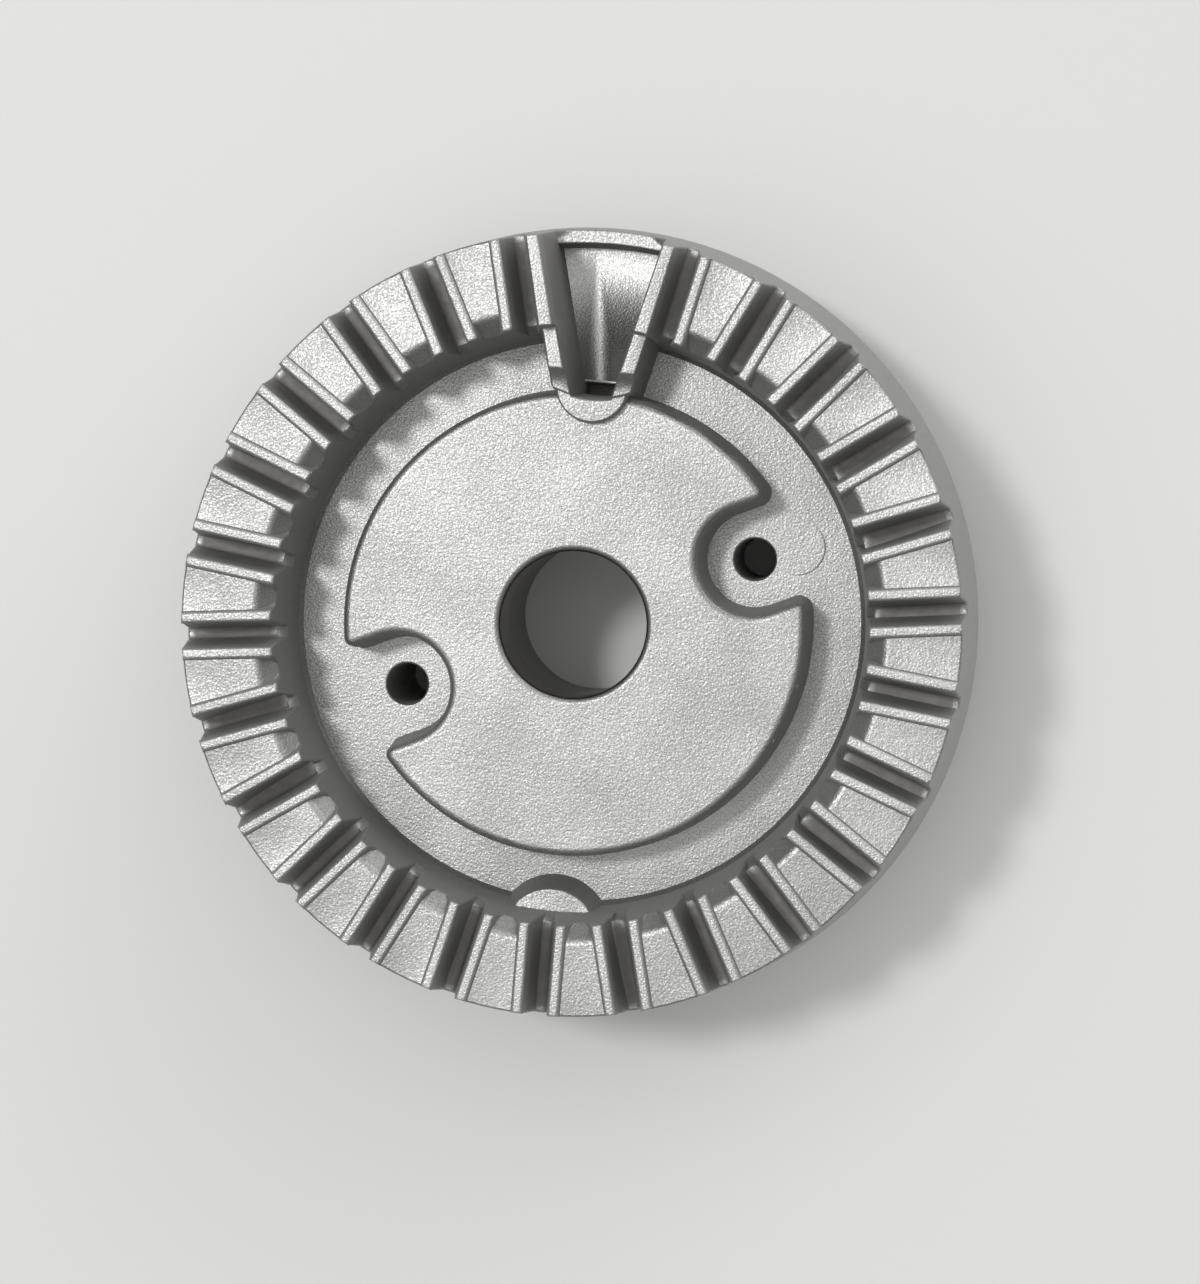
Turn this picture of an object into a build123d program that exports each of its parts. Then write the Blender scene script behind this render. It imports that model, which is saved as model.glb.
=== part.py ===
from build123d import *
import math
import os

# Gas burner base, one aluminium die casting, in millimetres.
# Origin on the axis of the mixing tube at its mouth, +Z up, igniter pocket towards +Y.

# Overall
total_height = 30.0
ring_top_radius = 35.05
ring_outer_draft = 5.9
skirt_bottom_z = 13.5

# Gas channel between the port ring and the raised centre
channel_floor_z = 18.3
channel_wall_radius = 26.35
channel_wall_draft = 2.4
channel_foot_chamfer = 0.4
web_thickness = 2.6

# Raised centre disc
disc_top_z = 25.1
disc_foot_radius = 21.6
disc_draft = 4.5
disc_edge_fillet = 0.8
disc_plate_thickness = 2.6

# Mixing tube
bore_top_radius = 6.65
bore_mouth_radius = 7.2
bore_mouth_length = 6.0
bore_lip_chamfer = 0.4
bore_mouth_chamfer = 0.4
tube_outer_radius = 9.3

# Screw holes, their recesses in the disc and their bosses on the underside
screw_count = 2
screw_rim_inset = 4.4
screw_azimuth = 24.7
screw_hole_radius = 1.925
recess_radius = 4.4
recess_corner_fillet = 1.3
boss_radius = 4.1
boss_rib_thickness = 2.0
boss_rib_end_z = 3.0

# Gas ports, each a drafted slot between two ribs
port_count = 25
port_pitch = 13.92
port_top_width = 2.33
port_floor_width = 1.0
port_floor_z = 24.2
port_lip_length = 0.8
port_lip_depth = 1.2

# Teeth between the ports: a rib beside each port, and a lower land between the ribs
rib_width = 0.95
rib_height = 0.5
rib_side_draft = 12.0
land_break_radius = 28.3
land_break_fillet = 1.0
land_inner_radius = 26.5
land_inner_drop = 2.4

# Igniter pocket, its stepped walls and the low bar across its outer end
pocket_half_angle = 13.92
pocket_side_offset = 2.92
pocket_draft = 4.5
pocket_floor_z = 17.8
pocket_end_y = 20.0
pocket_end_radius = 9.5
pocket_bar_z = 20.5
pocket_bar_width = 1.282
pocket_pad_z = 14.6
pocket_wall = 1.4
pocket_wall_draft = 3.0
wall_step_z = 28.0
wall_low_z = 26.6
wall_low_start_y = 22.25
wall_step_run = 0.65
lobe_z = 26.2
lobe_radius = 3.27
lobe_centre_y = 21.6
floor_slot_width = 2.7
floor_slot_length = 1.1

# Half-round locating boss at the ring's inner face, opposite the pocket
locator_radius = 5.3
locator_centre_radius = 28.85
locator_top_z = 22.3
locator_draft = 13.0

# Cored groove under the port ring
groove_wall = 2.3
groove_roof_z = 21.6
groove_draft = 3.0
groove_gap_angle = 40.0

over = 1.0

web_under_z = channel_floor_z - web_thickness
disc_roof_z = disc_top_z - disc_plate_thickness
screw_circle_radius = disc_foot_radius - screw_rim_inset
first_port_angle = 270 - (port_count - 1) / 2 * port_pitch
pocket_top_z = total_height + over


def run(height, degrees):
    """Sideways run of a drafted face over a height."""
    return height * math.tan(math.radians(degrees))


def ring_outer(z):
    """Radius of the ring's outer face at height z."""
    return ring_top_radius + run(total_height - z, ring_outer_draft)


def ring_inner(z):
    """Radius of the ring's inner face at height z."""
    return channel_wall_radius + run(z - channel_floor_z, channel_wall_draft)


def radial_face(points):
    """Closed outline of (radius, height) points as a face on the XZ plane."""
    return make_face(Polyline(*[(r, 0, z) for r, z in points], close=True))


def side_solid(points, half_width):
    """Closed outline of (y, height) points, extruded both ways along X."""
    face = make_face(Polyline(*[(0, y, z) for y, z in points], close=True))
    return extrude(face, half_width, dir=(1, 0, 0), both=True)


def sunk(plan, z_top, z_bottom, draft):
    """Plan at the top height, extruded down to the bottom height and narrowing by the draft."""
    return extrude(Pos(0, 0, z_top) * plan, z_top - z_bottom, dir=(0, 0, -1), taper=draft)


def circles_at(shape, radius, z):
    """Circular edges of one radius at one height."""
    rings = shape.edges().filter_by(GeomType.CIRCLE)
    return rings.filter_by(lambda e: abs(e.radius - radius) < 0.01 and abs(e.center().Z - z) < 0.01)


def screw_spots(radius):
    """The places of the screw holes, turned so that local X points away from the tube."""
    return PolarLocations(radius, screw_count, screw_azimuth)


def ring_and_web():
    """Port ring, channel floor and mixing tube as one turned body."""
    face = radial_face([
        (0, 0),
        (tube_outer_radius, 0),
        (tube_outer_radius, web_under_z),
        (channel_wall_radius + groove_wall, web_under_z),
        (channel_wall_radius + groove_wall, skirt_bottom_z),
        (ring_outer(skirt_bottom_z), skirt_bottom_z),
        (ring_outer(total_height), total_height),
        (ring_inner(total_height), total_height),
        (channel_wall_radius, channel_floor_z),
        (0, channel_floor_z),
    ])
    foot = face.vertices().sort_by_distance((channel_wall_radius, 0, channel_floor_z))[0]
    return revolve(chamfer(foot, channel_foot_chamfer), Axis.Z)


def recess_plan(radius):
    """U-shaped plan round a screw hole, running out past the edge of the disc."""
    reach = disc_foot_radius - screw_circle_radius + over
    return Circle(radius) + Pos(reach / 2, 0) * Rectangle(reach, 2 * radius)


def centre_disc():
    """Raised disc with drafted, rounded walls and a recess round each screw hole."""
    plan = Circle(disc_foot_radius) - screw_spots(screw_circle_radius) * recess_plan(recess_radius)
    corners = plan.vertices().filter_by(lambda v: abs(v.center().length - disc_foot_radius) < 0.01)
    plan = fillet(corners, recess_corner_fillet)
    disc = extrude(Pos(0, 0, channel_floor_z) * plan, disc_top_z - channel_floor_z, taper=disc_draft)
    return fillet(disc.edges().group_by(Axis.Z)[-1], disc_edge_fillet)


def bore():
    """Cutter of the mixing tube's bore: a straight mouth, then a long taper to the top."""
    return revolve(radial_face([
        (0, -over),
        (bore_mouth_radius, -over),
        (bore_mouth_radius, bore_mouth_length),
        (bore_top_radius, disc_top_z),
        (bore_top_radius, disc_top_z + over),
        (0, disc_top_z + over),
    ]), Axis.Z)


def hub_core():
    """Cored hollow under the raised disc, keeping a wall round the tube, the rim and the recesses."""
    start = web_under_z - over
    outer = disc_foot_radius - web_thickness - run(disc_roof_z - channel_floor_z, disc_draft)
    core = revolve(radial_face([
        (tube_outer_radius, start),
        (outer + run(disc_roof_z - start, groove_draft), start),
        (outer, disc_roof_z),
        (tube_outer_radius, disc_roof_z),
    ]), Axis.Z)
    kept = extrude(Pos(0, 0, start) * recess_plan(recess_radius + web_thickness), disc_top_z - start)
    return core - screw_spots(screw_circle_radius) * kept


def screw_boss():
    """Screw boss under the channel floor, at the origin."""
    height = channel_floor_z - web_thickness / 2
    return Pos(0, 0, height / 2) * Cylinder(boss_radius, height)


def boss_rib():
    """Rib along +X that ties a screw boss to the tube, up to the roof of the hub hollow."""
    start = tube_outer_radius - over
    wall = screw_circle_radius - recess_radius - web_thickness / 2
    face = radial_face([
        (start, boss_rib_end_z),
        (screw_circle_radius, boss_rib_end_z),
        (screw_circle_radius, channel_floor_z - over),
        (wall, channel_floor_z - over),
        (wall, disc_roof_z + over),
        (start, disc_roof_z + over),
    ])
    return extrude(face, boss_rib_thickness / 2, dir=(0, 1, 0), both=True)


def ring_groove():
    """Cutter of the groove cored under the teeth, stopped each side of the igniter pocket."""
    inner = channel_wall_radius + groove_wall
    outer = ring_outer(skirt_bottom_z) - groove_wall
    rise = groove_roof_z - skirt_bottom_z
    face = radial_face([
        (inner - run(over, groove_draft), skirt_bottom_z - over),
        (outer + run(over, groove_draft), skirt_bottom_z - over),
        (outer - run(rise, ring_outer_draft), groove_roof_z),
        (inner + run(rise, groove_draft), groove_roof_z),
    ])
    return Rot(0, 0, 90 + groove_gap_angle / 2) * revolve(face, Axis.Z, 360 - groove_gap_angle)


def port_slot():
    """Cutter of one gas port along +X: drafted sides and a lip that rolls down into the channel."""
    top_half = port_top_width / 2
    floor_half = port_floor_width / 2
    spread = (top_half - floor_half) / (total_height - port_floor_z) * over
    section = make_face(Polyline((0, -floor_half, port_floor_z), (0, floor_half, port_floor_z),
                                 (0, top_half + spread, total_height + over),
                                 (0, -top_half - spread, total_height + over), close=True))
    start = ring_inner(channel_floor_z) - over
    slot = Pos(start, 0, 0) * extrude(section, ring_outer(skirt_bottom_z) + over - start, dir=(1, 0, 0))
    edge = ring_inner(port_floor_z)
    lip = radial_face([(start, port_floor_z - port_lip_depth), (edge, port_floor_z - port_lip_depth),
                       (edge + port_lip_length, port_floor_z), (edge + port_lip_length, port_floor_z + over),
                       (start, port_floor_z + over)])
    return slot + extrude(lip, floor_half, dir=(0, 1, 0), both=True)


def land_half_width(radius):
    """Half the width of a land at a radius, between ribs that run parallel to their ports."""
    half_pitch = port_pitch / 2
    return run(radius, half_pitch) - (port_top_width / 2 + rib_width) / math.cos(math.radians(half_pitch))


def land_cutter():
    """Cutter between two ribs, along +X on the middle of a tooth, deeper than the land."""
    near = land_inner_radius - 3 * over
    far = ring_outer(total_height) + over
    plan = make_face(Polyline((near, -land_half_width(near)), (far, -land_half_width(far)),
                              (far, land_half_width(far)), (near, land_half_width(near)), close=True))
    return sunk(plan, total_height, total_height - 2 * land_inner_drop, rib_side_draft)


def above_lands():
    """All that lies above the lands: level at the outside, sloping down to the channel."""
    land_z = total_height - rib_height
    slope = (land_inner_drop - rib_height) / (land_break_radius - land_inner_radius)
    near = land_inner_radius - 3 * over
    far = ring_outer(skirt_bottom_z) + over
    face = radial_face([
        (near, land_z - slope * (land_break_radius - near)),
        (land_break_radius, land_z),
        (far, land_z),
        (far, total_height + over),
        (near, total_height + over),
    ])
    crest = face.vertices().sort_by_distance((land_break_radius, 0, land_z))[0]
    return revolve(fillet(crest, land_break_fillet), Axis.Z)


def pocket_side(y, z):
    """Half width of the igniter pocket at a place along Y and a height."""
    top = run(y, pocket_half_angle) - pocket_side_offset / math.cos(math.radians(pocket_half_angle))
    return top - run(total_height - z, pocket_draft)


def pocket_end_region(y_far):
    """Plan of all that lies on the outer side of the pocket's curved inner end."""
    centre_y = pocket_end_y + pocket_end_radius
    beyond = Pos(0, (centre_y + y_far) / 2) * Rectangle(2 * pocket_end_radius, y_far - centre_y)
    return Pos(0, centre_y) * Circle(pocket_end_radius) + beyond


def pocket_plan(y_far, z, spread):
    """Plan of the pocket at a height, widened by a wall, with its curved inner end."""
    near_y = pocket_end_y - over
    near = pocket_side(near_y, z) + spread
    far = pocket_side(y_far, z) + spread
    sides = make_face(Polyline((near, near_y), (far, y_far), (-far, y_far), (-near, near_y), close=True))
    return sides & pocket_end_region(y_far)


def pocket_walls():
    """Side walls of the pocket across the channel, stepping down towards the centre."""
    base_z = channel_floor_z - over
    far_y = ring_inner(total_height) + over
    spread = pocket_wall / math.cos(math.radians(pocket_half_angle))
    spread += run(wall_step_z - base_z, pocket_wall_draft)
    block = extrude(Pos(0, 0, base_z) * pocket_plan(far_y, wall_step_z, spread), total_height - base_z,
                    taper=pocket_wall_draft)
    steps = side_solid([(pocket_end_y - over, base_z), (far_y - over, base_z), (far_y - over, wall_step_z),
                        (wall_low_start_y + wall_step_run, wall_step_z), (wall_low_start_y, wall_low_z),
                        (pocket_end_y - over, wall_low_z)], far_y)
    return block & steps


def pocket_lobe():
    """Rounded inner end of the pocket, standing on the edge of the raised disc."""
    base_z = channel_floor_z - over
    height = lobe_z - base_z
    foot = lobe_radius + run(height, pocket_wall_draft)
    return Pos(0, lobe_centre_y, base_z + height / 2) * Cone(foot, lobe_radius, height)


def pocket_pad():
    """Thicker floor under the pocket."""
    far_y = channel_wall_radius + groove_wall + over
    plan = pocket_plan(far_y, pocket_floor_z, pocket_wall)
    return extrude(Pos(0, 0, pocket_pad_z) * plan, web_under_z + over - pocket_pad_z)


def pocket_hollow():
    """Cutter of the pocket, leaving a low bar across its outer end, with the slot through its floor."""
    far_y = ring_outer(skirt_bottom_z) + 2 * over
    plan = pocket_plan(far_y, pocket_top_z, 0)
    deep = sunk(plan, pocket_top_z, pocket_floor_z, pocket_draft)
    bar_inner = ring_outer(pocket_bar_z) - pocket_bar_width
    bar_top_radius = bar_inner + run(pocket_top_z - pocket_bar_z, pocket_draft)
    within_bar = sunk(Circle(bar_top_radius), pocket_top_z, pocket_floor_z - over, pocket_draft)
    shallow = sunk(plan, pocket_top_z, pocket_bar_z, pocket_draft)
    outward = Pos(0, far_y, pocket_top_z) * Box(far_y, 2 * (far_y - channel_wall_radius),
                                                2 * (pocket_top_z - pocket_bar_z))
    slot_y = pocket_end_y + run(pocket_top_z - pocket_floor_z, pocket_draft) + floor_slot_length / 2
    slot_depth = pocket_floor_z - pocket_pad_z + over
    slot = Pos(0, slot_y, pocket_floor_z) * Box(floor_slot_width, floor_slot_length, 2 * slot_depth)
    return (deep & within_bar) + (shallow & outward) + slot


def locator():
    """Half-round boss standing on the channel floor against the ring."""
    height = locator_top_z - channel_floor_z
    boss = extrude(Pos(0, -locator_centre_radius, channel_floor_z) * Circle(locator_radius), height,
                   taper=locator_draft)
    return boss & Pos(0, 0, channel_floor_z + height / 2) * Cylinder(channel_wall_radius + 2 * over, height)


def burner_base():
    """The whole casting."""
    body = ring_and_web() + centre_disc()
    body += pocket_walls() + pocket_lobe() + pocket_pad()
    body += locator()
    body -= hub_core() + ring_groove()
    body += screw_spots(screw_circle_radius) * screw_boss()
    body += screw_spots(0) * boss_rib()
    body -= bore()
    body = chamfer(circles_at(body, bore_top_radius, disc_top_z), bore_lip_chamfer)
    body = chamfer(circles_at(body, bore_mouth_radius, 0), bore_mouth_chamfer)
    ports = PolarLocations(0, port_count, first_port_angle, (port_count - 1) * port_pitch, endpoint=True)
    teeth = PolarLocations(0, port_count - 1, first_port_angle + port_pitch / 2, (port_count - 2) * port_pitch,
                           endpoint=True)
    lands = Part() + teeth * land_cutter()
    body -= lands & above_lands()
    body -= ports * port_slot()
    body -= pocket_hollow()
    body -= screw_spots(screw_circle_radius) * Cylinder(screw_hole_radius, 3 * total_height)
    return body


os.makedirs("parts", exist_ok=True)
base = burner_base()
print("solids", len(base.solids()), "volume", round(base.volume, 1))
export_step(base, "parts/burner_base.step")
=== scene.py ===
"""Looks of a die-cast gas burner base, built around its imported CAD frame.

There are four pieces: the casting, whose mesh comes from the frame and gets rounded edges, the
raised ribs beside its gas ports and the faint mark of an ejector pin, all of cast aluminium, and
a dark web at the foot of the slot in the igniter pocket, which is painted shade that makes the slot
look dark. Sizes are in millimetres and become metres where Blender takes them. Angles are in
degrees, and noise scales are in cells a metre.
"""

import logging
import math
from dataclasses import dataclass, field
from enum import Enum

import bmesh
import bpy
from mathutils import Matrix, Vector

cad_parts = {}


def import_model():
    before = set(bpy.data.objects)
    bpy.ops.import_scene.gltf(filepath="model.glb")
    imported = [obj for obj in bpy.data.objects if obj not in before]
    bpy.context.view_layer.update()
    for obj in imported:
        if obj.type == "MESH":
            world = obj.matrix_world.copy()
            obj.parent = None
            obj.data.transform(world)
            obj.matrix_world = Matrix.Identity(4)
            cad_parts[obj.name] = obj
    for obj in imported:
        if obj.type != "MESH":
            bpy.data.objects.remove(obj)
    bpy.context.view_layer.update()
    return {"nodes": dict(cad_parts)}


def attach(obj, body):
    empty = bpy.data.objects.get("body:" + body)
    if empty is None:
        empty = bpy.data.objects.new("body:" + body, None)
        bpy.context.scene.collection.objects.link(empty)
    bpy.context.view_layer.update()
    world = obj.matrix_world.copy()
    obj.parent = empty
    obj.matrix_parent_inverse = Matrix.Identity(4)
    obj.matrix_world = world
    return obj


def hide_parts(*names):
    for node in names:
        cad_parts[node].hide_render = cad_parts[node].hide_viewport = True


LOG = logging.getLogger("burner_base")
MM = 0.001
BODY = "root"
CASTING_NODE = "burner_base"

Socket = bpy.types.NodeSocket
Value = Socket | float | tuple[float, ...]
Colour = tuple[float, float, float]
Place = tuple[float, float, float]
Span = tuple[float, float]


class Side(Enum):
    """The sides of a rib, with the way that each looks from the rib."""

    PORT = -1
    LAND = 1


class End(Enum):
    """The ends of a rib, with the way that each looks from the rib."""

    INNER = -1
    OUTER = 1


class Tree:
    """A node tree that is being built, with short calls for the nodes that it needs."""

    def __init__(self, tree: bpy.types.NodeTree) -> None:
        """Take a tree and drop what is in it."""
        self.tree = tree
        tree.nodes.clear()

    def add(self, kind: str, inputs: dict[str | int, Value] | None = None,
            **settings: object) -> bpy.types.Node:
        """Add a node.

        Args:
            kind: Blender's name of the node type.
            inputs: What its inputs get, by name or number: an output to link, or a plain value.
            settings: Attributes of the node to set.

        Returns:
            The new node.
        """
        node = self.tree.nodes.new(kind)
        for name, value in settings.items():
            setattr(node, name, value)
        for socket, value in (inputs or {}).items():
            if isinstance(value, Socket):
                self.tree.links.new(value, node.inputs[socket])
            else:
                node.inputs[socket].default_value = value
        return node

    def math(self, operation: str, *values: Value, clamp: bool = False) -> Socket:
        """Add a Math node.

        Args:
            operation: The node's operation.
            values: What it works on.
            clamp: Whether the result is kept between 0 and 1.

        Returns:
            The result.
        """
        node = self.add("ShaderNodeMath", dict(enumerate(values)), operation=operation,
                        use_clamp=clamp)
        return node.outputs[0]

    def product(self, first: Value, *others: Value) -> Socket:
        """Multiply any number of values.

        Args:
            first: The first value.
            others: The other values.

        Returns:
            Their product.
        """
        for other in others:
            first = self.math("MULTIPLY", first, other)
        return first

    def inverse(self, share: Socket) -> Socket:
        """Give what a share leaves of 1."""
        return self.math("SUBTRACT", 1.0, share)

    def ramp(self, value: Socket, start: Value, width: float) -> Socket:
        """Fade from 0 to 1 over a width, from a start on.

        Args:
            value: The value to fade by.
            start: Where the fade starts.
            width: How far it runs.

        Returns:
            The faded value.
        """
        return self.math("DIVIDE", self.math("SUBTRACT", value, start), width, clamp=True)

    def remap(self, value: Socket, old: Span, new: Span = (0.0, 1.0)) -> Socket:
        """Map a value smoothly from one range to another.

        Args:
            value: The value to map.
            old: The range that it comes in.
            new: The range that it goes out in.

        Returns:
            The mapped value.
        """
        node = self.add("ShaderNodeMapRange", {
            "Value": value, "From Min": old[0], "From Max": old[1], "To Min": new[0],
            "To Max": new[1]}, interpolation_type="SMOOTHSTEP")
        return node.outputs[0]

    def mix(self, factor: Socket, first: Socket | Colour, second: Socket | Colour) -> Socket:
        """Mix two colours.

        Args:
            factor: How much of the second colour shows.
            first: The first colour.
            second: The second colour.

        Returns:
            The mixed colour.
        """
        one, two = (colour if isinstance(colour, Socket) else (*colour, 1.0)
                    for colour in (first, second))
        return self.add("ShaderNodeMix", {0: factor, 6: one, 7: two}, data_type="RGBA").outputs[2]

    def blend(self, factor: Socket, first: Value, second: Value) -> Socket:
        """Mix two numbers.

        Args:
            factor: How much of the second number shows.
            first: The first number.
            second: The second number.

        Returns:
            The mixed number.
        """
        node = self.add("ShaderNodeMix", {0: factor, 2: first, 3: second}, data_type="FLOAT")
        return node.outputs[0]

    def split(self, vector: Socket) -> tuple[Socket, Socket, Socket]:
        """Split a vector into its three numbers."""
        return tuple(self.add("ShaderNodeSeparateXYZ", {0: vector}).outputs)

    def join(self, x: Value, y: Value, z: Value) -> Socket:
        """Join three numbers into a vector."""
        return self.add("ShaderNodeCombineXYZ", {0: x, 1: y, 2: z}).outputs[0]

    def noise(self, vector: Socket, scale: Value, detail: float) -> Socket:
        """Add a Noise texture.

        Args:
            vector: Where it is read.
            scale: Its scale.
            detail: Its detail.

        Returns:
            Its value.
        """
        node = self.add("ShaderNodeTexNoise", {"Vector": vector, "Scale": scale,
                                               "Detail": detail})
        return node.outputs["Fac"]

    def bump(self, height: Socket, depth_mm: float, strength: Socket,
             normal: Socket | None = None) -> Socket:
        """Add a Bump node.

        Args:
            height: The height that it bumps by.
            depth_mm: How deep a height of 1 is.
            strength: How much of it shows.
            normal: The normal that it starts from, if it isn't the surface's own.

        Returns:
            The bumped normal.
        """
        inputs = {"Height": height, "Distance": depth_mm * MM, "Strength": strength}
        if normal is not None:
            inputs["Normal"] = normal
        return self.add("ShaderNodeBump", inputs).outputs[0]

    def effect(self, group: bpy.types.NodeTree, vector: Socket,
               **values: float) -> bpy.types.bpy_prop_collection:
        """Place a shader node group.

        Args:
            group: The group.
            vector: Where it is read.
            values: Its own values here, by the names of its inputs.

        Returns:
            Its outputs, which have names.
        """
        node = self.add("ShaderNodeGroup", node_tree=group)
        self.tree.links.new(vector, node.inputs["Vector"])
        for name, value in values.items():
            node.inputs[name].default_value = value
        return node.outputs


def open_group(name: str, inputs: dict[str, float]) -> tuple[Tree, bpy.types.Node]:
    """Start a shader node group that reads a Vector and some numbers.

    Args:
        name: The group's name.
        inputs: Name and usual value of each number.

    Returns:
        The group's tree and its input node.
    """
    group = bpy.data.node_groups.new(name, "ShaderNodeTree")
    group.interface.new_socket("Vector", in_out="INPUT", socket_type="NodeSocketVector")
    for label, value in inputs.items():
        socket = group.interface.new_socket(label, in_out="INPUT", socket_type="NodeSocketFloat")
        socket.default_value = value
    tree = Tree(group)
    return tree, tree.add("NodeGroupInput")


def close_group(tree: Tree, outputs: dict[str, Socket]) -> bpy.types.NodeTree:
    """Give a shader node group its outputs.

    Args:
        tree: The group's tree.
        outputs: Name and value of each output, all of them numbers.

    Returns:
        The finished group.
    """
    for label in outputs:
        tree.tree.interface.new_socket(label, in_out="OUTPUT", socket_type="NodeSocketFloat")
    tree.add("NodeGroupOutput", outputs)
    return tree.tree


@dataclass(frozen=True)
class BlastGrain:
    """The blasted grain: small soft pits and peaks, uneven in size and depth.

    The scales of the wide pits and of the specks are shares of the grain's own scale.
    """

    scale: float = 3000.0
    cloud: float = 0.35
    detail: float = 1.0
    wide_scale: float = 0.35
    speck_scale: float = 1.3
    speck_detail: float = 0.0

    def group(self) -> bpy.types.NodeTree:
        """Build the grain's group.

        Returns:
            The group, which puts out a height and a value that differs from grain to grain.
        """
        tree, given = open_group("Blast grain", {"Scale": self.scale, "Cloud": self.cloud})
        place, scale, cloud = (given.outputs[name] for name in ("Vector", "Scale", "Cloud"))
        fine = tree.noise(place, scale, self.detail)
        wide = tree.noise(place, tree.product(scale, self.wide_scale), self.detail)
        speck = tree.noise(place, tree.product(scale, self.speck_scale), self.speck_detail)
        height = tree.math("ADD", fine, tree.product(wide, cloud))
        return close_group(tree, {"Height": height, "Speck": speck})


@dataclass(frozen=True)
class DragMarks:
    """The drag marks: fine lines that the die leaves along the draw, which is upright."""

    scale: float = 1400.0
    stretch: float = 0.1
    detail: float = 3.0

    def group(self) -> bpy.types.NodeTree:
        """Build the marks' group.

        Returns:
            The group, which puts out a height.
        """
        tree, given = open_group("Drag marks", {"Scale": self.scale, "Stretch": self.stretch})
        x, y, z = tree.split(given.outputs["Vector"])
        drawn = tree.join(x, y, tree.product(z, given.outputs["Stretch"]))
        return close_group(tree, {"Height": tree.noise(drawn, given.outputs["Scale"], self.detail)})


@dataclass(frozen=True)
class BlastReach:
    """Where the blasting beads reach: the open faces, but neither the gas ports nor the bore.

    The walls of the igniter pocket spread outwards. Half its width is its spread times the
    distance along Y, plus its side.
    """

    bore_radius: float = 6.9
    inner_radius: float = 27.2
    outer_radius: float = 34.9
    port_floor: float = 23.2
    port_top: float = 27.8
    pocket_end: float = 19.9
    pocket_side: float = -2.7
    pocket_spread: float = 0.248
    pocket_floor: float = 17.2
    pocket_top: float = 19.5
    inner_fade: float = 0.8
    outer_fade: float = 0.4
    floor_fade: float = 0.4
    port_top_fade: float = 0.6
    pocket_top_fade: float = 9.0
    edge_fade: float = 0.1

    def group(self) -> bpy.types.NodeTree:
        """Build the reach's group.

        Returns:
            The group, which puts out how much of the blast a place gets, and whether it is in
            the bore and in the pocket.
        """
        tree, given = open_group("Blast reach", {
            "Bore radius": self.bore_radius * MM,
            "Inner radius": self.inner_radius * MM,
            "Outer radius": self.outer_radius * MM,
            "Port floor": self.port_floor * MM,
            "Port top": self.port_top * MM,
            "Pocket end": self.pocket_end * MM,
            "Pocket side": self.pocket_side * MM,
            "Pocket spread": self.pocket_spread,
            "Pocket floor": self.pocket_floor * MM,
            "Pocket top": self.pocket_top * MM,
        })
        limit = given.outputs
        x, y, z = tree.split(limit["Vector"])
        flat = tree.join(x, y, 0.0)
        radius = tree.add("ShaderNodeVectorMath", {0: flat}, operation="LENGTH").outputs["Value"]
        past_inner = tree.ramp(radius, limit["Inner radius"], self.inner_fade * MM)
        past_outer = tree.ramp(radius, limit["Outer radius"], self.outer_fade * MM)
        ports = tree.product(
            tree.math("SUBTRACT", past_inner, past_outer),
            tree.ramp(z, limit["Port floor"], self.floor_fade * MM),
            tree.inverse(tree.ramp(z, limit["Port top"], self.port_top_fade * MM)))
        past_bore = tree.ramp(radius, limit["Bore radius"], self.edge_fade * MM)
        aside = tree.math("SUBTRACT", tree.math("ABSOLUTE", x),
                          tree.product(y, limit["Pocket spread"]))
        pocket = tree.product(
            tree.inverse(tree.ramp(aside, limit["Pocket side"], self.edge_fade * MM)),
            tree.ramp(y, limit["Pocket end"], self.edge_fade * MM),
            tree.ramp(z, limit["Pocket floor"], self.floor_fade * MM),
            tree.inverse(tree.ramp(z, limit["Pocket top"], self.pocket_top_fade * MM)),
            tree.inverse(past_outer))
        return close_group(tree, {"Reach": tree.inverse(ports), "Bore": tree.inverse(past_bore),
                                  "Pocket": pocket})


@dataclass(frozen=True)
class Effects:
    """The shader groups that the finishes share, each built once."""

    grain: bpy.types.NodeTree = field(default_factory=BlastGrain().group)
    drag: bpy.types.NodeTree = field(default_factory=DragMarks().group)
    reach: bpy.types.NodeTree = field(default_factory=BlastReach().group)


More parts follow.
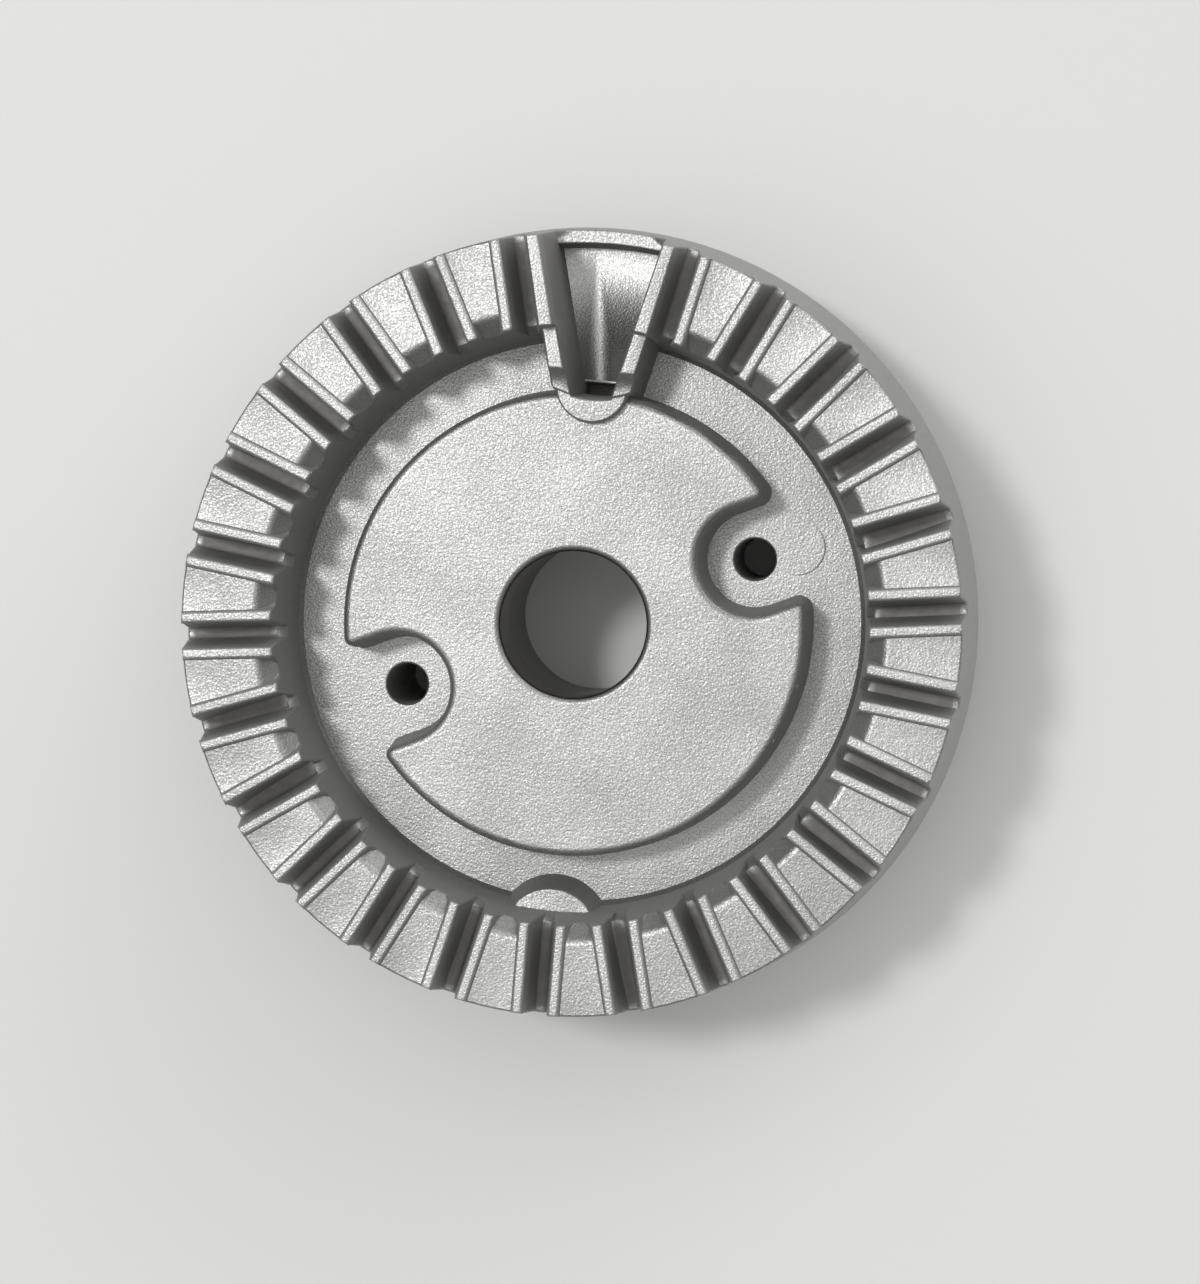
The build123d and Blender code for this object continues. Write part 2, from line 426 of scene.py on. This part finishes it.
@dataclass(frozen=True)
class CastAluminium:
    """Satin cast aluminium: blasted where it looks up, smoother on its drafted walls.

    A face looks up as its normal's height goes from one end of the facing range to the other.
    The tone of a blasted face is shared between its specks and the wider cloud. Painted shade
    darkens the bore, the gas ports and the walls of the igniter pocket, and painted light makes the
    pocket's floor lighter.
    """

    name: str = "Cast aluminium"
    pale: Colour = (0.48, 0.48, 0.473)
    dull: Colour = (0.34, 0.34, 0.333)
    wall: Colour = (0.41, 0.408, 0.4)
    # Painted shade: the gas ports' walls and floors are a little darker than the open walls.
    port: Colour = (0.36, 0.355, 0.345)
    # Painted shade: the bore is darker than the other walls.
    bore: Colour = (0.22, 0.21, 0.198)
    # Painted shade on the igniter pocket's walls, and painted light on its floor.
    pocket_side: Colour = (0.27, 0.267, 0.26)
    pocket_floor: Colour = (0.50, 0.50, 0.49)
    facing: Span = (0.45, 0.8)
    grain_size: float = 0.2
    grain_depth: float = 0.038
    drag_depth: float = 0.01
    cloud_scale: float = 120.0
    cloud_detail: float = 4.0
    cloud_share: float = 0.5
    tone_range: Span = (0.35, 0.65)
    rough_range: Span = (0.3, 0.7)
    rough_top: Span = (0.50, 0.40)
    rough_wall: Span = (0.7, 0.78)
    rough_bore: float = 0.34

    def material(self, effects: Effects) -> bpy.types.Material:
        """Build the material.

        Args:
            effects: The shader groups that the finishes share.

        Returns:
            The material, which reads Object coordinates.
        """
        material = bpy.data.materials.new(self.name)
        material.use_nodes = True
        tree = Tree(material.node_tree)
        place = tree.add("ShaderNodeTexCoord").outputs["Object"]
        normal = tree.add("ShaderNodeNewGeometry").outputs["Normal"]
        reach = tree.effect(effects.reach, place)
        grain = tree.effect(effects.grain, place, Scale=1 / (self.grain_size * MM))
        drag = tree.effect(effects.drag, place)
        blasted = tree.product(tree.remap(tree.split(normal)[2], self.facing), reach["Reach"])
        cloud = tree.noise(place, self.cloud_scale, self.cloud_detail)
        tone = tree.math("ADD", tree.product(grain["Speck"], 1 - self.cloud_share),
                         tree.product(cloud, self.cloud_share))
        top = tree.mix(tree.remap(tone, self.tone_range), self.dull, self.pale)
        # Painted light: the pocket's floor gets a lighter, even colour.
        top = tree.mix(reach["Pocket"], top, self.pocket_floor)
        # Painted shade in the gas ports.
        wall = tree.mix(reach["Reach"], self.port, self.wall)
        # Painted shade in the bore.
        wall = tree.mix(reach["Bore"], wall, self.bore)
        # Painted shade: the pocket's walls get a darker colour.
        wall = tree.mix(reach["Pocket"], wall, self.pocket_side)
        rough_top = tree.remap(grain["Speck"], self.rough_range, self.rough_top)
        rough_wall = tree.remap(drag["Height"], self.rough_range, self.rough_wall)
        rough_wall = tree.blend(reach["Bore"], rough_wall, self.rough_bore)
        grainy = tree.bump(grain["Height"], self.grain_depth, blasted)
        shader = tree.add("ShaderNodeBsdfPrincipled", {
            "Metallic": 1.0,
            "Base Color": tree.mix(blasted, wall, top),
            "Roughness": tree.blend(blasted, rough_wall, rough_top),
            "Normal": tree.bump(drag["Height"], self.drag_depth, tree.inverse(blasted), grainy),
        })
        tree.add("ShaderNodeOutputMaterial", {"Surface": shader.outputs[0]})
        return material


@dataclass(frozen=True)
class RibAluminium(CastAluminium):
    """The finish of the ribs: paler, rougher and with deeper grain than the rest of the casting."""

    name: str = "Rib aluminium"
    pale: Colour = (0.60, 0.60, 0.59)
    dull: Colour = (0.42, 0.42, 0.413)
    grain_depth: float = 0.055
    rough_top: Span = (0.56, 0.44)


# Painted shade: the dark colour of the web in the pocket's slot.
SLOT_SHADE = (0.09, 0.086, 0.08)


@dataclass(frozen=True)
class SlotShadeFinish(CastAluminium):
    """The finish of the web in the slot: one dark colour, which is painted shade. dark bare metal,
    which the beads miss.
    """

    name: str = "Painted slot shade"
    pale: Colour = SLOT_SHADE
    dull: Colour = SLOT_SHADE
    wall: Colour = SLOT_SHADE
    pocket_side: Colour = SLOT_SHADE
    pocket_floor: Colour = SLOT_SHADE
    grain_depth: float = 0.01


def add_object(name: str, data: bpy.types.ID) -> bpy.types.Object:
    """Put an object into the scene, at the origin.

    Args:
        name: Its name.
        data: Its mesh, lamp or camera.

    Returns:
        The object.
    """
    thing = bpy.data.objects.new(name, data)
    bpy.context.scene.collection.objects.link(thing)
    return thing


def add_shape(name: str, shape: bmesh.types.BMesh) -> bpy.types.Object:
    """Put a finished shape into the scene, and let go of it.

    Args:
        name: The name of its object and of its mesh.
        shape: The shape.

    Returns:
        The object.
    """
    mesh = bpy.data.meshes.new(name)
    shape.to_mesh(mesh)
    shape.free()
    return add_object(name, mesh)


def bake(piece: bpy.types.Object) -> None:
    """Turn an object's modifiers into plain mesh, with normals that keep its flat faces flat.

    Args:
        piece: The object, whose sharp edges are marked.
    """
    normals = piece.modifiers.new("flat faces", "WEIGHTED_NORMAL")
    normals.keep_sharp = True
    graph = bpy.context.evaluated_depsgraph_get()
    done = bpy.data.meshes.new_from_object(piece.evaluated_get(graph), depsgraph=graph)
    piece.modifiers.clear()
    piece.data = done


def dress(piece: bpy.types.Object, material: bpy.types.Material) -> bpy.types.Object:
    """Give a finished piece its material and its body.

    Args:
        piece: The finished piece.
        material: Its finish.

    Returns:
        The piece.
    """
    piece.data.materials.clear()
    piece.data.materials.append(material)
    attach(piece, BODY)
    return piece


@dataclass(frozen=True)
class PortRing:
    """Sizes of the port ring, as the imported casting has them."""

    ports: int = 25
    pitch: float = 13.92
    middle_tooth: float = 270.0
    slot_half: float = 1.165
    slot_lean: float = 0.1147
    rib_width: float = 0.95
    rib_draft: float = 12.0
    top: float = 30.0
    land: float = 29.5
    inner_radius: float = 26.84
    inner_draft: float = 2.4
    outer_radius: float = 35.05
    outer_draft: float = 5.9

    @property
    def teeth(self) -> int:
        """Number of teeth between the ports."""
        return self.ports - 1

    @property
    def first_port(self) -> float:
        """Angle of the first port, which lies beside the pocket."""
        return self.middle_tooth - self.teeth / 2 * self.pitch

    def place(self, port: float, along: float, across: float, level: float) -> Vector:
        """Turn a place beside a port into the shared frame.

        Args:
            port: The port's angle.
            along: Distance from the axis along the port.
            across: Distance from the port's middle plane.
            level: Height.

        Returns:
            The place, in metres.
        """
        turn = math.radians(port)
        return Vector((along * math.cos(turn) - across * math.sin(turn),
                       along * math.sin(turn) + across * math.cos(turn), level)) * MM

    def side(self, drop: float, side: Side) -> float:
        """Distance of a rib's side from the port's middle plane.

        Args:
            drop: How far below the rib's top.
            side: Which side of the rib.

        Returns:
            The distance.
        """
        if side is Side.PORT:
            return self.slot_half - drop * self.slot_lean
        return self.slot_half + self.rib_width + drop * math.tan(math.radians(self.rib_draft))

    def end(self, drop: float, end: End) -> float:
        """Radius of the ring's face that ends a rib.

        Args:
            drop: How far below the rib's top.
            end: Which end of the rib.

        Returns:
            The radius.
        """
        if end is End.INNER:
            return self.inner_radius - drop * math.tan(math.radians(self.inner_draft))
        return self.outer_radius + drop * math.tan(math.radians(self.outer_draft))

    def steps(self, place: Vector) -> float:
        """Count the port pitches from the first port to a place."""
        angle = math.degrees(math.atan2(place.y, place.x))
        return (angle - self.first_port) % 360 / self.pitch

    def on_tooth(self, place: Vector) -> bool:
        """Tell whether a place is on one of the teeth, and not beside the igniter pocket."""
        return self.steps(place) <= self.teeth


@dataclass
class Casting:
    """The casting itself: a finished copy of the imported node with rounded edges."""

    ring: PortRing = field(default_factory=PortRing)
    port_floor: float = 24.2
    floor_rounding: float = 0.42
    edge_rounding: float = 0.2
    edge_segments: int = 3
    edge_angle: float = 38.0
    flat_angle: float = 0.5
    weld: float = 0.002
    rib_sink: float = 0.3

    def build(self, node: bpy.types.Object, material: bpy.types.Material) -> bpy.types.Object:
        """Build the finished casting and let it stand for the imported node.

        Args:
            node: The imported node.
            material: The casting's finish.

        Returns:
            The finished piece.
        """
        shape = bmesh.new()
        shape.from_mesh(node.data)
        bmesh.ops.remove_doubles(shape, verts=shape.verts, dist=self.weld * MM)
        self._sink_ribs(shape)
        bmesh.ops.dissolve_limit(shape, angle_limit=math.radians(self.flat_angle),
                                 verts=shape.verts, edges=shape.edges)
        self._weigh_edges(shape)
        piece = add_shape("casting", shape)
        rounding = piece.modifiers.new("rounding", "BEVEL")
        rounding.width = self.widest * MM
        rounding.segments = self.edge_segments
        rounding.limit_method = "WEIGHT"
        rounding.use_clamp_overlap = False
        bake(piece)
        dress(piece, material)
        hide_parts(CASTING_NODE)
        return piece

    @property
    def widest(self) -> float:
        """The widest rounding, which the others are shares of."""
        return max(self.floor_rounding, self.edge_rounding)

    def _sink_ribs(self, shape: bmesh.types.BMesh) -> None:
        """Lower the rib tops of the teeth along their sides, where the rounded ribs go.

        Args:
            shape: The casting's mesh.
        """
        ring = self.ring
        drop = self.rib_sink
        middle = (ring.inner_radius + ring.outer_radius) / 2
        for vert in shape.verts:
            if vert.co.z < (ring.top - self.weld) * MM or not ring.on_tooth(vert.co):
                continue
            radius = vert.co.xy.length / MM
            port = ring.first_port + round(ring.steps(vert.co)) * ring.pitch
            off = radius * math.sin(math.atan2(vert.co.y, vert.co.x) - math.radians(port))
            share = (abs(off) - ring.slot_half) / ring.rib_width
            side = ring.side(drop, Side.PORT) * (1 - share) + ring.side(drop, Side.LAND) * share
            end = ring.end(drop, End.INNER if radius < middle else End.OUTER)
            vert.co = ring.place(port, math.sqrt(end ** 2 - side ** 2),
                                 math.copysign(side, off), ring.top - drop)

    def _weigh_edges(self, shape: bmesh.types.BMesh) -> None:
        """Mark the edges that get rounded, and those that stay sharp.

        Outward edges are rounded, but not those of the lowered rib tops, which are covered.

        Args:
            shape: The casting's mesh.
        """
        weight = shape.edges.layers.float.new("bevel_weight_edge")
        rib_foot = (self.ring.land + self.weld) * MM
        for edge in shape.edges:
            crisp = edge.calc_face_angle() > math.radians(self.edge_angle)
            covered = (all(vert.co.z > rib_foot for vert in edge.verts)
                       and self.ring.on_tooth(edge.verts[0].co))
            rounded = crisp and edge.is_convex and not covered
            if crisp and not edge.is_convex and self._on_port_floor(edge):
                edge[weight] = self.floor_rounding / self.widest
            elif rounded:
                edge[weight] = self.edge_rounding / self.widest
            edge.smooth = rounded or not crisp
        for face in shape.faces:
            face.smooth = True

    def _on_port_floor(self, edge: bmesh.types.BMEdge) -> bool:
        """Tell whether an edge lies at the level of the port floors."""
        return all(abs(vert.co.z / MM - self.port_floor) < self.weld for vert in edge.verts)


# Corners of a rib, in the order in which they are made: the low ones before the high ones, of
# these the ones at the port before those at the land, and of these the inner before the outer.
RIB_FACES = ((4, 6, 7, 5), (0, 1, 3, 2), (0, 4, 5, 1), (2, 3, 7, 6), (0, 2, 6, 4), (1, 5, 7, 3))
CROWN_EDGES = ((4, 6), (6, 7), (7, 5), (5, 4))
INNER_END_EDGES = ((0, 4), (6, 2))


@dataclass
class PortRibs:
    """The raised ribs beside the gas ports, two a tooth, with rounded crowns and inner ends."""

    ring: PortRing = field(default_factory=PortRing)
    depth: float = 0.65
    proud: float = 0.008
    end_inset: float = 0.01
    rounding: float = 0.26
    rounding_segments: int = 4
    rounding_profile: float = 0.5
    sharp_angle: float = 60.0

    def build(self, material: bpy.types.Material) -> bpy.types.Object:
        """Build the ribs of all teeth from one pair.

        Args:
            material: The ribs' finish.

        Returns:
            The finished piece.
        """
        shape = bmesh.new()
        for hand in (-1, 1):
            self._rib(shape, hand)
        bmesh.ops.recalc_face_normals(shape, faces=shape.faces)
        piece = add_shape("port_ribs", shape)
        mesh = piece.data
        mesh.polygons.foreach_set("use_smooth", [True] * len(mesh.polygons))
        mesh.set_sharp_from_angle(angle=math.radians(self.sharp_angle))
        tree = self._round_the_ring()
        modifier = piece.modifiers.new("teeth", "NODES")
        modifier.node_group = tree
        first_tooth = self.ring.first_port + self.ring.pitch / 2
        values = {"Teeth": self.ring.teeth, "Pitch": math.radians(self.ring.pitch),
                  "First tooth": math.radians(first_tooth), "Finish": material}
        for item in tree.interface.items_tree:
            if item.name in values and item.in_out == "INPUT":
                modifier[item.identifier] = values[item.name]
        bake(piece)
        return dress(piece, material)

    def _rib(self, shape: bmesh.types.BMesh, hand: int) -> None:
        """Add one rib of the tooth that lies along +X.

        Args:
            shape: The mesh to add it to.
            hand: Which side of the tooth it is on, -1 or 1.
        """
        ring = self.ring
        verts = []
        for drop in (self.depth, 0.0):
            for side in Side:
                across = ring.side(drop, side) + side.value * self.proud
                for end in End:
                    radius = ring.end(drop, end) - self.end_inset
                    along = math.sqrt(radius ** 2 - across ** 2)
                    verts.append(shape.verts.new(ring.place(hand * ring.pitch / 2, along,
                                                            -hand * across, ring.top - drop)))
        for corners in RIB_FACES:
            shape.faces.new([verts[corner] for corner in corners])
        edges = [shape.edges.get((verts[one], verts[two]))
                 for one, two in CROWN_EDGES + INNER_END_EDGES]
        bmesh.ops.bevel(shape, geom=edges, offset=self.rounding * MM,
                        segments=self.rounding_segments, profile=self.rounding_profile,
                        affect="EDGES", clamp_overlap=True)

    def _round_the_ring(self) -> bpy.types.NodeTree:
        """Build the tree that sets one tooth's ribs round the ring.

        Returns:
            The tree, with named inputs for the number of teeth, the pitch, the first angle and
            the finish.
        """
        group = bpy.data.node_groups.new("Ribs round the ring", "GeometryNodeTree")
        for name, way, kind in (("Geometry", "INPUT", "NodeSocketGeometry"),
                                ("Teeth", "INPUT", "NodeSocketInt"),
                                ("Pitch", "INPUT", "NodeSocketFloat"),
                                ("First tooth", "INPUT", "NodeSocketFloat"),
                                ("Finish", "INPUT", "NodeSocketMaterial"),
                                ("Geometry", "OUTPUT", "NodeSocketGeometry")):
            group.interface.new_socket(name, in_out=way, socket_type=kind)
        tree = Tree(group)
        given = tree.add("NodeGroupInput").outputs
        points = tree.add("GeometryNodePoints", {"Count": given["Teeth"]})
        index = tree.add("GeometryNodeInputIndex").outputs[0]
        turn = tree.math("ADD", tree.product(index, given["Pitch"]), given["First tooth"])
        rotation = tree.add("FunctionNodeEulerToRotation", {0: tree.join(0.0, 0.0, turn)})
        copies = tree.add("GeometryNodeInstanceOnPoints", {
            "Points": points.outputs[0], "Instance": given["Geometry"],
            "Rotation": rotation.outputs[0]})
        real = tree.add("GeometryNodeRealizeInstances", {0: copies.outputs[0]})
        finish = tree.add("GeometryNodeSetMaterial", {"Geometry": real.outputs[0],
                                                      "Material": given["Finish"]})
        tree.add("NodeGroupOutput", {0: finish.outputs[0]})
        return group


@dataclass
class PinMark:
    """The faint arc that an ejector pin leaves on the channel floor beside a screw hole.

    The shoulders of its cross-section lie at a share of its width from its middle line, and
    rise to a share of its height.
    """

    centre: tuple[float, float] = (19.4, 8.62)
    floor: float = 18.3
    radius: float = 2.55
    angles: Span = (-110.0, 60.0)
    steps: int = 48
    width: float = 0.2
    height: float = 0.07
    sink: float = 0.03
    shoulder: float = 0.25
    shoulder_rise: float = 0.7
    thinnest: float = 0.2

    def build(self, material: bpy.types.Material) -> bpy.types.Object:
        """Build the arc, which gets thinner towards both ends.

        Args:
            material: Its finish.

        Returns:
            The finished piece.
        """
        shape = bmesh.new()
        loops = [self._section(shape, step / self.steps) for step in range(self.steps + 1)]
        for one, two in zip(loops, loops[1:]):
            for index, vert in enumerate(one):
                after = (index + 1) % len(one)
                shape.faces.new((vert, one[after], two[after], two[index]))
        shape.faces.new(loops[0])
        shape.faces.new(loops[-1])
        bmesh.ops.recalc_face_normals(shape, faces=shape.faces)
        return dress(add_shape("pin_mark", shape), material)

    def _section(self, shape: bmesh.types.BMesh, share: float) -> list[bmesh.types.BMVert]:
        """Add the arc's cross-section at a share of its length.

        Args:
            shape: The mesh to add it to.
            share: How far along the arc, from 0 to 1.

        Returns:
            The corners, in order round the section.
        """
        turn = math.radians(self.angles[0] + (self.angles[1] - self.angles[0]) * share)
        size = max(math.sin(math.pi * share), self.thinnest)
        rise = self.shoulder_rise * self.height * size
        corners = []
        for across, level in ((-0.5, -self.sink), (-self.shoulder, rise),
                              (0.0, self.height * size), (self.shoulder, rise),
                              (0.5, -self.sink)):
            radius = self.radius + across * self.width * size
            corners.append(shape.verts.new(Vector((
                self.centre[0] + radius * math.cos(turn),
                self.centre[1] + radius * math.sin(turn), self.floor + level)) * MM))
        return corners


@dataclass
class SlotShadeWeb:
    """A thin dark web that closes the foot of the pocket's slot: painted shade, so that the slot
    looks dark.
    """

    middle: Place = (0.0, 21.505, 14.95)
    size: Place = (3.0, 1.4, 0.5)
    corner: float = 0.12
    corner_segments: int = 2

    def build(self, material: bpy.types.Material) -> bpy.types.Object:
        """Build the web, let into the slot's sides.

        Args:
            material: Its finish.

        Returns:
            The finished piece.
        """
        shape = bmesh.new()
        half = Vector(self.size) / 2
        verts = [shape.verts.new((Vector(self.middle) + half * Vector((x, y, z))) * MM)
                 for z in (-1, 1) for y in (-1, 1) for x in (-1, 1)]
        bmesh.ops.convex_hull(shape, input=verts)
        bmesh.ops.bevel(shape, geom=shape.edges[:], offset=self.corner * MM,
                        segments=self.corner_segments, affect="EDGES")
        bmesh.ops.recalc_face_normals(shape, faces=shape.faces)
        return dress(add_shape("slot_shade_web", shape), material)


@dataclass(frozen=True)
class Glow:
    """A soft bright patch of the studio's wall or ceiling."""

    azimuth: float
    height: float
    strength: float
    sharpness: float


@dataclass
class Stage:
    """Floor, lights and camera: a plain studio with the photograph's point of view."""

    floor_tone: float = 0.84
    floor_blue: float = 0.985
    floor_rough: float = 0.6
    floor_metres: float = 3.0
    camera_place: Place = (30.277, 14.582, 331.453)
    camera_right: Place = (0.991920, 0.085165, -0.094035)
    camera_top: Place = (-0.089568, 0.995024, -0.043642)
    focal_pixels: float = 3400.0
    picture_pixels: tuple[int, int] = (1200, 1284)
    sensor_width: float = 36.0
    nearest_metres: float = 0.01
    key_azimuth: float = 152.0
    key_height: float = 70.0
    key_metres: float = 1.5
    key_size_metres: float = 0.2
    key_power: float = 6.1
    room: float = 0.27
    ceiling: Glow = Glow(azimuth=0.0, height=90.0, strength=0.42, sharpness=5.0)
    window: Glow = Glow(azimuth=120.0, height=62.0, strength=1.8, sharpness=25.0)
    wall: Glow = Glow(azimuth=20.0, height=68.0, strength=0.7, sharpness=25.0)
    back: Glow = Glow(azimuth=225.0, height=68.0, strength=1.1, sharpness=25.0)
    far: Glow = Glow(azimuth=60.0, height=18.0, strength=2.2, sharpness=8.0)

    def build(self) -> None:
        """Build the floor, the lights and the camera."""
        self._floor()
        self._key()
        self._sky()
        self._camera()

    @staticmethod
    def _way(azimuth: float, height: float) -> Vector:
        """Give the direction of an angle round the axis and a height, both in degrees."""
        turn, rise = math.radians(azimuth), math.radians(height)
        return Vector((math.cos(rise) * math.cos(turn), math.cos(rise) * math.sin(turn),
                       math.sin(rise)))

    def _floor(self) -> None:
        """Lay a plain pale floor under the casting."""
        half = self.floor_metres / 2
        mesh = bpy.data.meshes.new("floor")
        corners = [(-half, -half, 0), (half, -half, 0), (half, half, 0), (-half, half, 0)]
        mesh.from_pydata(corners, [], [range(len(corners))])
        material = bpy.data.materials.new("Pale board")
        material.use_nodes = True
        shader = material.node_tree.nodes["Principled BSDF"]
        tone = self.floor_tone
        shader.inputs["Base Color"].default_value = (tone, tone, tone * self.floor_blue, 1.0)
        shader.inputs["Roughness"].default_value = self.floor_rough
        mesh.materials.append(material)
        add_object("floor", mesh)

    def _key(self) -> None:
        """Hang the main lamp, high and to the upper left of the picture."""
        light = bpy.data.lights.new("key", "AREA")
        light.shape = "DISK"
        light.size = self.key_size_metres
        light.energy = self.key_power
        lamp = add_object("key", light)
        way = self._way(self.key_azimuth, self.key_height)
        lamp.location = way * self.key_metres
        lamp.rotation_euler = way.to_track_quat("Z", "Y").to_euler()

    def _sky(self) -> None:
        """Light the room evenly, with a few soft bright patches."""
        world = bpy.data.worlds.new("studio")
        bpy.context.scene.world = world
        world.use_nodes = True
        tree = Tree(world.node_tree)
        way = tree.add("ShaderNodeTexCoord").outputs["Generated"]
        strength = self.room
        for glow in (self.ceiling, self.window, self.wall, self.back, self.far):
            near = tree.add("ShaderNodeVectorMath", {
                0: way, 1: self._way(glow.azimuth, glow.height)}, operation="DOT_PRODUCT")
            facing = tree.math("MAXIMUM", near.outputs["Value"], 0.0)
            patch = tree.math("POWER", facing, glow.sharpness)
            strength = tree.math("MULTIPLY_ADD", patch, glow.strength, strength)
        background = tree.add("ShaderNodeBackground", {"Strength": strength})
        tree.add("ShaderNodeOutputWorld", {"Surface": background.outputs[0]})

    def _camera(self) -> None:
        """Set up the camera where the photograph was taken from."""
        data = bpy.data.cameras.new("camera")
        data.sensor_width = self.sensor_width
        data.lens = self.focal_pixels / max(self.picture_pixels) * self.sensor_width
        data.clip_start = self.nearest_metres
        camera = add_object("camera", data)
        right, top = Vector(self.camera_right), Vector(self.camera_top)
        turn = Matrix((right, top, right.cross(top))).transposed().to_4x4()
        camera.matrix_world = Matrix.Translation(Vector(self.camera_place) * MM) @ turn
        bpy.context.scene.camera = camera


def main() -> None:
    """Build the casting, its small details and the studio, and report each piece."""
    logging.basicConfig(level=logging.INFO, format="%(name)s: %(message)s")
    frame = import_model()
    bpy.context.scene.view_settings.view_transform = "Standard"
    effects = Effects()
    satin, crowned, slot_shade_finish = (finish.material(effects)
                            for finish in (CastAluminium(), RibAluminium(), SlotShadeFinish()))
    pieces = (
        Casting().build(frame["nodes"][CASTING_NODE], satin),
        PortRibs().build(crowned),
        PinMark().build(satin),
        SlotShadeWeb().build(slot_shade_finish),
    )
    for piece in pieces:
        LOG.info("%s: %d faces", piece.name, len(piece.data.polygons))
    Stage().build()


if __name__ == "__main__":
    main()
